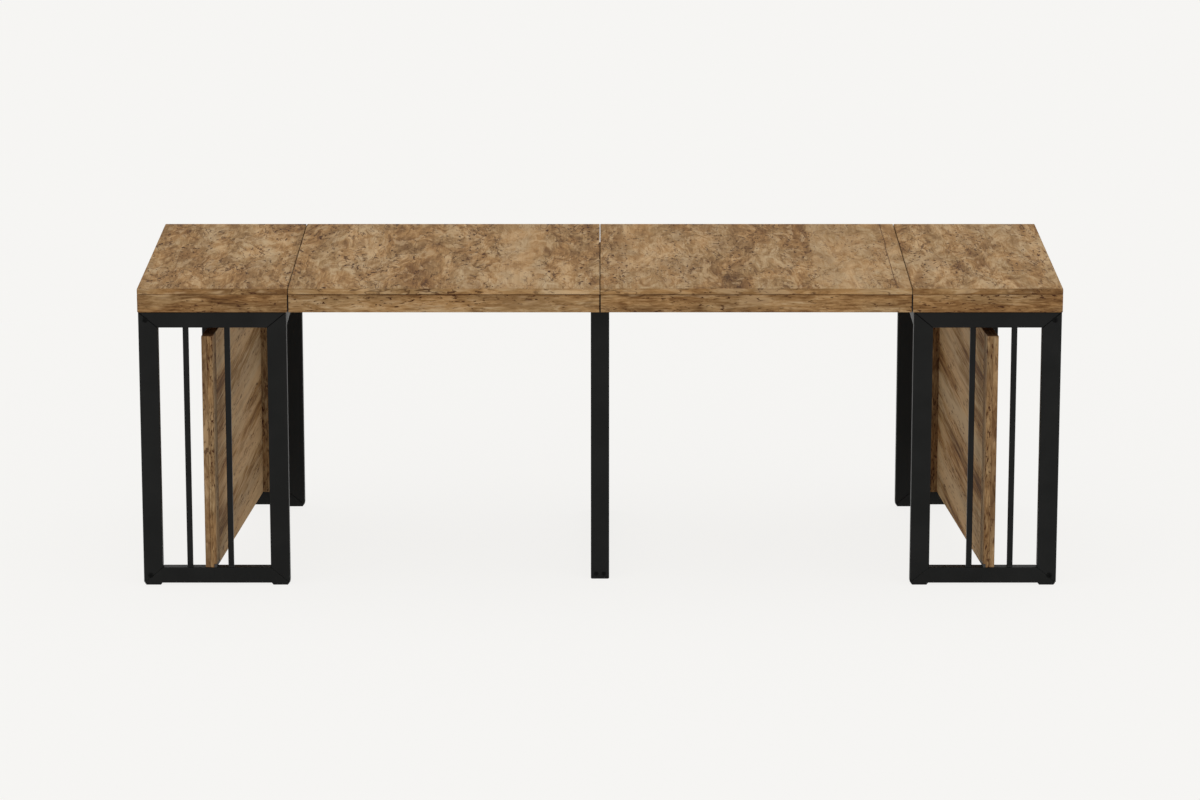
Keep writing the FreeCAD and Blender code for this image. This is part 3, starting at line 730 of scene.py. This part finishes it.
def notch_shade_glide(low, high, radius):
    """A bar between two corners: a rounded rectangle carried along Y, drawn in at both ends and closed."""
    middle, half = (low + high) / 2, (high - low) / 2
    rows = []
    for along, share in ((low[1], 0.0), (low[1], 0.9), (low[1] + radius, 1.0),
                         (high[1] - radius, 1.0), (high[1], 0.9), (high[1], 0.0)):
        x, z = share * rounded_loop(half[0], half[2], radius).T
        rows.append(np.column_stack([middle[0] + x, np.full(LOOP_POINTS, along), middle[2] + z]))
    return np.stack(rows)[:, ::-1]


def socket_head(place, radius, height):
    """A button head facing the front: a flat back, a domed profile about its axis and a six-sided socket.

    Along the dome the slope turns from 12 to 78 degrees, the height follows a power of its sine, and the
    reach shrinks evenly and with its cosine.
    """
    angle = np.linspace(0, 2 * math.pi, SOCKET_COLUMNS, endpoint=False)
    round_ring = np.ones(SOCKET_COLUMNS)
    six = math.cos(math.pi / 6) / np.cos((angle % (math.pi / 3)) - math.pi / 6)
    rings = [(0.0, 0.0, round_ring), (radius, 0.0, round_ring)]
    for share in np.linspace(0, 1, DOME_RINGS):
        slope = math.radians(12 + 66 * share)
        reach = radius * (0.86 - 0.30 * share + 0.14 * math.cos(slope))
        rings.append((reach, height * math.sin(slope) ** 0.8, round_ring))
    inner = SOCKET_RADIUS * 0.96
    rings += [(SOCKET_RADIUS, height, six), (inner, height - 0.15 * SOCKET_DEPTH, six),
              (inner, height - SOCKET_DEPTH, six), (0.0, height - 1.15 * SOCKET_DEPTH, round_ring)]
    rows = []
    for reach, out, ring in rings:
        x, z = ring * reach * np.cos(angle), ring * reach * np.sin(angle)
        rows.append(np.column_stack([x, np.full(SOCKET_COLUMNS, -out), z]))
    return np.stack(rows) + place


def cross_head(place, radius, height):
    """A pan head facing down: a flat back and a low dome about its axis, with a cross sunk into its middle.

    The dome falls with the fourth power of the share of its radius, and the cross is deepest in the middle.
    """
    angle = np.linspace(0, 2 * math.pi, CROSS_COLUMNS, endpoint=False)
    rows = [np.zeros((CROSS_COLUMNS, 3))]
    for share in (1.0, 0.97, 0.86, 0.7, 0.55, 0.42, 0.3, 0.2, 0.1, 0.0):
        fall = height * math.sqrt(1 - share ** 4)
        x, y = share * radius * np.cos(angle), share * radius * np.sin(angle)
        arm = np.minimum(np.abs(x), np.abs(y)) < CROSS_ARM * radius
        depth = 0.55 * height * (1 - share / CROSS_REACH) + 0.25 * height
        sunk = np.where(arm & (share < CROSS_REACH), depth, 0.0)
        rows.append(np.column_stack([x, y, -(fall - sunk)]))
    grid = np.stack(rows) + place
    return grid[:, ::-1]


# Operators that finish the wood


TOP_PLANKS = {
    "left_end_top": ((-1.1427, 0.45), (-1.02, 0.5), (-0.95, 0.43), (-0.86, 0.49), (-0.772, 0.45)),
    "left_leaf_top": ((-0.77, 0.54), (-0.6, 0.52), (-0.45, 0.40), (-0.39, 0.44), (-0.257, 0.41),
                      (-0.252, 0.62), (-0.15, 0.6), (-0.12, 0.46), (-0.002, 0.5)),
    "right_leaf_top": ((0.002, 0.42), (0.055, 0.43), (0.065, 0.58), (0.21, 0.56), (0.23, 0.46), (0.4, 0.44),
                       (0.54, 0.40), (0.545, 0.63), (0.71, 0.58), (0.733, 0.5), (0.735, 0.6), (0.77, 0.58)),
    "right_end_top": ((0.772, 0.49), (0.86, 0.56), (0.97, 0.49), (1.05, 0.57), (1.1427, 0.53)),
}
TOP_JOINTS = {"right_leaf_top": (0.733,)}
TOP_EDGES = {"left_end_top": -0.12, "left_leaf_top": 0.07, "right_leaf_top": 0.04, "right_end_top": -0.22}
TOP_END_CALM = 0.1
TOP_STEP = (0.37, 1.9, 0.83)
SEAM_SHADES = {"end": 0.15, "leaf": 0.5}

APRON_LIFTS = {"left_end_aprons": -0.27, "left_leaf_aprons": -0.02, "right_leaf_aprons": -0.04,
               "right_end_aprons": -0.14}
APRON_SHADE_FADES = {"end": -0.08, "leaf": 0.3}
APRON_START = (2.1, 0.0, 0.0)
APRON_STEP = (0.77, 3.3, 0.4)

# Tone of each stowed piece with painted light and shade in it: the cores are lifted paler against the shade
# of the top above them, and the two sides' values differ by the light and shade that falls on each.
SPARE_TONE_AND_LIGHT_LIFTS = {"left": {"panel": 0.0, "core": 0.32, "lipping": -0.04, "batten": -0.06},
               "right": {"panel": 0.0, "core": 0.2, "lipping": -0.04, "batten": -0.06}}
SPARE_END_TONE_AND_LIGHT_LIFTS = {"left": {"panel": -0.22, "core": -0.15, "lipping": -0.2, "batten": -0.15},
                   "right": {"panel": -0.12, "core": 0.17, "lipping": -0.2, "batten": -0.31}}
SPARE_FADES = {"left": 0.13, "right": 0.08}
SPARE_FIGURES = {"panel": LEAF_TOP, "core": STREAKED, "lipping": EDGE, "batten": EDGE}
SPARE_END_CALM = 0.25
SPARE_SIDE_STEP = (1.3, 0.0, 1.0)
SPARE_PIECE_STEP = (0.0, 2.7, 0.9)

BEARER_SHIFT = (0.2, 5.1, 0.7)
BEARER_LIFT = 0.06


def stepped(step, count, start=(0, 0, 0)):
    """A place some steps from a start, so that each board shows another piece of the pattern."""
    return tuple(np.add(start, np.multiply(count, step)))


class TableOperator:
    """What the table's operators share."""
    bl_options = {"REGISTER", "UNDO"}


class EXTENDING_TABLE_OT_tops(TableOperator, bpy.types.Operator):
    """Finish the four top boards in rustic wood with grain from front to back"""
    bl_idname = "extending_table.tops"
    bl_label = "Top boards"

    def execute(self, context):
        wood = context.scene.table_wood
        for i, (node, planks) in enumerate(TOP_PLANKS.items()):
            board = node.split("_")[1]
            paint([node], rustic_wood(node + "_wood", wood, BURR, shift=stepped(TOP_STEP, i), planks=planks,
                                      joints=TOP_JOINTS.get(node, ()), end_lift=TOP_EDGES[node],
                                      end_calm=TOP_END_CALM, groove_shade=-SEAM_SHADES[board]))
        return {"FINISHED"}


class EXTENDING_TABLE_OT_aprons(TableOperator, bpy.types.Operator):
    """Finish the apron strips with grain along each strip"""
    bl_idname = "extending_table.aprons"
    bl_label = "Aprons"

    def execute(self, context):
        wood = context.scene.table_wood
        for i, (node, lift) in enumerate(APRON_LIFTS.items()):
            low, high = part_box(node)
            board = node.split("_")[1]
            shift = stepped(APRON_STEP, i, APRON_START)
            # Painted shade and light: the leaf aprons darken just under the board's edge above, and the end
            # aprons are paler along their upper edge.
            fade = ("Z", low.z, high.z, APRON_SHADE_FADES[board])
            paint([node], rustic_wood(node + "_wood", wood, APRON, shift=shift, lift=lift,
                                      groove_shade=SEAM_SHADES[board], fade=fade))
        return {"FINISHED"}


class EXTENDING_TABLE_OT_spare_leaves(TableOperator, bpy.types.Operator):
    """Finish the stowed leaves with grain along the leaf, and along the height on their ends"""
    bl_idname = "extending_table.spare_leaves"
    bl_label = "Spare leaves"

    def execute(self, context):
        wood = context.scene.table_wood
        for i, (name, side) in enumerate(SIDES.items()):
            start = stepped(SPARE_SIDE_STEP, i)
            for j, (piece, figure) in enumerate(SPARE_FIGURES.items()):
                node = f"{name}_spare_{piece}"
                upright = figure is EDGE
                lift = SPARE_TONE_AND_LIGHT_LIFTS[name][piece]
                low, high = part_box(node)
                fade = ("Y", high.y, low.y, SPARE_FADES[name]) if piece == "core" else None
                shift = stepped(SPARE_PIECE_STEP, j, start)
                # Every stowed piece gets painted shade on its faces that look up.
                paint([node], rustic_wood(node + "_wood", wood, figure, turn=-side * STOW_ANGLE,
                                          shift=shift, end_axis="Z", lift=lift,
                                          end_lift=SPARE_END_TONE_AND_LIGHT_LIFTS[name][piece] - lift,
                                          end_calm=0.0 if upright else SPARE_END_CALM,
                                          upright=upright, shade_top_faces=True, fade=fade))
        return {"FINISHED"}


class EXTENDING_TABLE_OT_bearers(TableOperator, bpy.types.Operator):
    """Finish the bearers under the tops as plain stained timber"""
    bl_idname = "extending_table.bearers"
    bl_label = "Bearers"

    def execute(self, context):
        wood = context.scene.table_wood
        paint(["left_bearers", "right_bearers"],
              rustic_wood("bearer_timber", wood, PLAIN, math.radians(90), BEARER_SHIFT, lift=BEARER_LIFT))
        return {"FINISHED"}


# Operators that finish the metal and the plastic


FRAME_PIECES = ("outer_leg", "inner_leg", "top_rail", "bottom_rail", "bars")
FRAME_NODES = (*(f"{end}_{piece}" for end in ("front", "back") for piece in FRAME_PIECES),
               "inner_side_rail", "outer_side_rail")
CENTRE_NODES = ("centre_front_leg", "centre_back_leg", "centre_top_beam", "centre_bottom_beam",
                "centre_saddles")
SLIDE_NODES = ("middle_rails", "runners")


class EXTENDING_TABLE_OT_frames(TableOperator, bpy.types.Operator):
    """Finish the tube frames in black powder coat"""
    bl_idname = "extending_table.frames"
    bl_label = "Frames"

    def execute(self, context):
        nodes = [f"{name}_{node}" for name in SIDES for node in FRAME_NODES]
        paint([*nodes, *CENTRE_NODES], powder_coat("powder_coat", context.scene.table_metal))
        return {"FINISHED"}


class EXTENDING_TABLE_OT_slides(TableOperator, bpy.types.Operator):
    """Finish the telescopic slides in plated steel"""
    bl_idname = "extending_table.slides"
    bl_label = "Slides"

    def execute(self, context):
        nodes = [f"{name}_{node}" for name in SIDES for node in SLIDE_NODES]
        paint(["fixed_rails", *nodes], plated_steel("plated_slides", context.scene.table_metal))
        return {"FINISHED"}


class EXTENDING_TABLE_OT_feet(TableOperator, bpy.types.Operator):
    """Finish the feet as moulded plastic"""
    bl_idname = "extending_table.feet"
    bl_label = "Feet"

    def execute(self, context):
        plastic = moulded_plastic("foot_plastic", context.scene.table_metal)
        paint(["left_feet", "right_feet", "centre_feet"], plastic)
        return {"FINISHED"}


# Operators that make the small fittings


SCREW_HEIGHT = 0.0018
BEARER_SCREWS = 6
BEARER_MARGIN = 0.06
BEARER_INSET = 0.011
FIRST_SCREW = 0.42
RAIL_SCREWS = (-0.27, 0.0, 0.27)


class EXTENDING_TABLE_OT_bolts(TableOperator, bpy.types.Operator):
    """Make the domed frame bolts, and finish the screws of the centre leg"""
    bl_idname = "extending_table.bolts"
    bl_label = "Bolts and screws"

    def execute(self, context):
        steel = blackened_steel("blackened_steel", context.scene.table_metal)
        paint(["centre_screws"], steel)
        radius = context.scene.table_fittings.bolt_head / 2
        for name in SIDES:
            node = f"{name}_frame_bolts"
            low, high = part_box(node)
            across = (low.x + high.x) / 2
            heads = [socket_head((across, high.y, up), radius, high.y - low.y)
                     for up in (low.z + radius, high.z - radius)]
            piece = build_piece(f"{name}_bolt_heads", heads, steel, f"{name}_half")
            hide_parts(node)
        return {"FINISHED"}


class EXTENDING_TABLE_OT_welds(TableOperator, bpy.types.Operator):
    """Make the small welds where the thin bars meet the rails"""
    bl_idname = "extending_table.welds"
    bl_label = "Bar welds"

    def execute(self, context):
        leg = context.scene.table_fittings.weld
        coat = bpy.data.materials["powder_coat"]
        for name in SIDES:
            rings = []
            for end in ("front", "back"):
                low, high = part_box(f"{name}_{end}_bars")
                half = (high.y - low.y) / 2
                middle = (low.y + high.y) / 2
                for across in (low.x + half, high.x - half):
                    rings.append(weld_ring((across, middle, low.z), 1, half, leg))
                    rings.append(weld_ring((across, middle, high.z), -1, half, leg))
            build_piece(f"{name}_bar_welds", rings, coat, f"{name}_half")
        return {"FINISHED"}


class EXTENDING_TABLE_OT_plugs(TableOperator, bpy.types.Operator):
    """Make the plugs in the open ends of the back top rails"""
    bl_idname = "extending_table.plugs"
    bl_label = "Tube plugs"

    def execute(self, context):
        flange = context.scene.table_fittings.plug_flange
        plastic = bpy.data.materials["foot_plastic"]
        for name in SIDES:
            low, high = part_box(f"{name}_back_top_rail")
            middle = (low + high) / 2
            half = (high - low) / 2
            plugs = [tube_plug((end, middle.y, middle.z), side, half.y, half.z, flange)
                     for end, side in ((low.x, -1), (high.x, 1))]
            build_piece(f"{name}_tube_plugs", plugs, plastic, f"{name}_half")
        return {"FINISHED"}


class EXTENDING_TABLE_OT_notch_shade_glides(TableOperator, bpy.types.Operator):
    """Make the black plastic glides in the notches of the spare leaves, which stand in for the shade in
    those notches
    """
    bl_idname = "extending_table.glides"
    bl_label = "Notch shade glides"

    def execute(self, context):
        fittings = context.scene.table_fittings
        plastic = bpy.data.materials["foot_plastic"]
        for name, side in SIDES.items():
            angle = side * STOW_ANGLE
            low, high = turned_box(f"{name}_spare_lipping", angle)
            if side > 0:
                high[0] = low[0] + fittings.shade_glide_width
            else:
                low[0] = high[0] - fittings.shade_glide_width
            high[2] = low[2] + fittings.shade_glide_height
            # A black plastic glide that fills the notch as painted shade.
            bar = notch_shade_glide(low + SHADE_GLIDE_CLEARANCE, high - SHADE_GLIDE_CLEARANCE, SHADE_GLIDE_RADIUS)
            build_piece(f"{name}_notch_shade_glide", [bar @ spin_about_z(angle).T], plastic, f"{name}_spare_leaf")
        return {"FINISHED"}


class EXTENDING_TABLE_OT_underside_screws(TableOperator, bpy.types.Operator):
    """Make the screws that hold the bearers and the side rails to the tops from below"""
    bl_idname = "extending_table.underside_screws"
    bl_label = "Underside screws"

    def execute(self, context):
        steel = bpy.data.materials["blackened_steel"]
        radius = context.scene.table_fittings.screw_head / 2
        for name in SIDES:
            low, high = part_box(f"{name}_bearers")
            spread = np.linspace(low.x + BEARER_MARGIN, high.x - BEARER_MARGIN, BEARER_SCREWS)
            places = [(across, along, low.z) for across in spread if abs(across) > FIRST_SCREW
                      for along in (low.y + BEARER_INSET, high.y - BEARER_INSET)]
            for rail in ("inner", "outer"):
                low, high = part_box(f"{name}_{rail}_side_rail")
                places += [((low.x + high.x) / 2, along, low.z) for along in RAIL_SCREWS]
            heads = [cross_head(place, radius, SCREW_HEIGHT) for place in places]
            build_piece(f"{name}_underside_screws", heads, steel, f"{name}_half")
        return {"FINISHED"}


# Stage


FLOOR_RADIUS = 40
FLOOR_SIDES = 96
SHADOW_FADE = (1.2, 3.2)
SHADOW_GLOW = 0.92
SENSOR_WIDTH = 36
CLIP_END = 200


def seen_directly(tree):
    """1 for what the camera sees, by itself or in a mirror or through glass."""
    path = add(tree, "ShaderNodeLightPath").node.outputs
    passed_on = maths(tree, "MAXIMUM", path["Is Glossy Ray"], path["Is Transmission Ray"])
    return maths(tree, "MAXIMUM", path["Is Camera Ray"], passed_on)


def floor_paper(backdrop):
    """A pale floor that keeps a faint shadow near the table and fades to the backdrop's own colour."""
    material, tree = new_material("floor_paper")
    reach = add(tree, "ShaderNodeVectorMath", {0: coordinates(tree)}, "Value", operation="LENGTH")
    plain = window(tree, reach, *SHADOW_FADE, least=SHADOW_GLOW)
    glow = add(tree, "ShaderNodeEmission", {"Color": backdrop, "Strength": 1.0})
    lit = add(tree, "ShaderNodeBsdfDiffuse", {"Color": backdrop})
    glowing = product(tree, seen_directly(tree), plain)
    show(tree, add(tree, "ShaderNodeMixShader", {0: glowing, 1: lit, 2: glow}))
    return material


def add_floor(backdrop):
    """A wide round floor: one flat face whose rim is a circle."""
    angle = np.linspace(0, 2 * math.pi, FLOOR_SIDES, endpoint=False)
    rim = FLOOR_RADIUS * np.column_stack([np.cos(angle), np.sin(angle), np.zeros(FLOOR_SIDES)])
    mesh = bpy.data.meshes.new("floor")
    mesh.from_pydata(rim.tolist(), [], [list(range(FLOOR_SIDES))])
    mesh.materials.append(floor_paper(backdrop))
    floor = place_object("floor", mesh)


def studio_world(stage):
    """A world that lights evenly and is seen in the backdrop's colour."""
    world = bpy.data.worlds.new("studio")
    tree = empty_tree(world)
    even = add(tree, "ShaderNodeBackground", {"Color": (1, 1, 1), "Strength": stage.ambient})
    shown = add(tree, "ShaderNodeBackground", {"Color": stage.backdrop, "Strength": 1.0})
    show(tree, add(tree, "ShaderNodeMixShader", {0: seen_directly(tree), 1: even, 2: shown}), "World")
    return world


def add_lamp(name, power, place, aim, size):
    """A soft rectangular lamp that is turned towards its aim."""
    lamp = bpy.data.lights.new(name, "AREA")
    lamp.shape = "RECTANGLE"
    lamp.size, lamp.size_y = size
    lamp.energy = power
    holder = place_object(name, lamp)
    holder.location = place
    holder.rotation_euler = (Vector(aim) - Vector(place)).to_track_quat("-Z", "Y").to_euler()


def add_camera(stage):
    """The camera in front of the table, at a distance from its aim and looking down by its pitch."""
    camera = place_object("camera", bpy.data.cameras.new("camera"))
    camera.data.sensor_width = SENSOR_WIDTH
    camera.data.lens = stage.lens
    camera.data.clip_end = CLIP_END
    camera.location = (0, -stage.distance * math.cos(stage.pitch),
                       stage.aim + stage.distance * math.sin(stage.pitch))
    camera.rotation_euler = (math.radians(90) - stage.pitch, 0, 0)
    return camera


class EXTENDING_TABLE_OT_stage(TableOperator, bpy.types.Operator):
    """Set the floor, the light and the camera"""
    bl_idname = "extending_table.stage"
    bl_label = "Stage"

    def execute(self, context):
        scene = context.scene
        stage = scene.table_stage
        add_floor(stage.backdrop)
        scene.world = studio_world(stage)
        add_lamp("front_lamp", stage.key, place=(0.0, -4.2, 4.6), aim=(0.0, 0.0, 0.0), size=(6.0, 3.0))
        add_lamp("overhead_lamp", stage.fill, place=(0.0, 0.6, 5.0), aim=(0.0, 0.6, 0.0), size=(6.0, 4.0))
        for name, side in SIDES.items():
            add_lamp(f"{name}_lamp", stage.sides, place=(4.0 * side, -3.2, 1.0),
                     aim=(-0.5 * side, 0.0, 0.35), size=(1.6, 1.6))
        scene.camera = add_camera(stage)
        scene.view_settings.view_transform = "Standard"
        return {"FINISHED"}


# Add-on


OPERATORS = (
    EXTENDING_TABLE_OT_tops,
    EXTENDING_TABLE_OT_aprons,
    EXTENDING_TABLE_OT_spare_leaves,
    EXTENDING_TABLE_OT_bearers,
    EXTENDING_TABLE_OT_frames,
    EXTENDING_TABLE_OT_slides,
    EXTENDING_TABLE_OT_feet,
    EXTENDING_TABLE_OT_bolts,
    EXTENDING_TABLE_OT_welds,
    EXTENDING_TABLE_OT_plugs,
    EXTENDING_TABLE_OT_notch_shade_glides,
    EXTENDING_TABLE_OT_underside_screws,
    EXTENDING_TABLE_OT_stage,
)

SETTINGS = {
    "table_wood": TableWoodSettings,
    "table_metal": TableMetalSettings,
    "table_fittings": TableFittingSettings,
    "table_stage": TableStageSettings,
}


class EXTENDING_TABLE_PT_sidebar(bpy.types.Panel):
    """The table's steps and settings"""
    bl_label = "Extending table"
    bl_idname = "EXTENDING_TABLE_PT_sidebar"
    bl_space_type = "VIEW_3D"
    bl_region_type = "UI"
    bl_category = "Table"

    def draw(self, context):
        for operator in OPERATORS:
            self.layout.operator(operator.bl_idname)
        for name, group in SETTINGS.items():
            box = self.layout.box()
            settings = getattr(context.scene, name)
            for field in group.__annotations__:
                box.prop(settings, field)


CLASSES = (*SETTINGS.values(), *OPERATORS, EXTENDING_TABLE_PT_sidebar)


def register():
    for item in CLASSES:
        bpy.utils.register_class(item)
    for name, group in SETTINGS.items():
        setattr(bpy.types.Scene, name, bpy.props.PointerProperty(type=group))


def unregister():
    for name in SETTINGS:
        delattr(bpy.types.Scene, name)
    for item in reversed(CLASSES):
        bpy.utils.unregister_class(item)


def main():
    """Registers the add-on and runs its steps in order."""
    register()
    for operator in OPERATORS:
        group, name = operator.bl_idname.split(".")
        getattr(getattr(bpy.ops, group), name)()


if __name__ == "__main__":
    main()
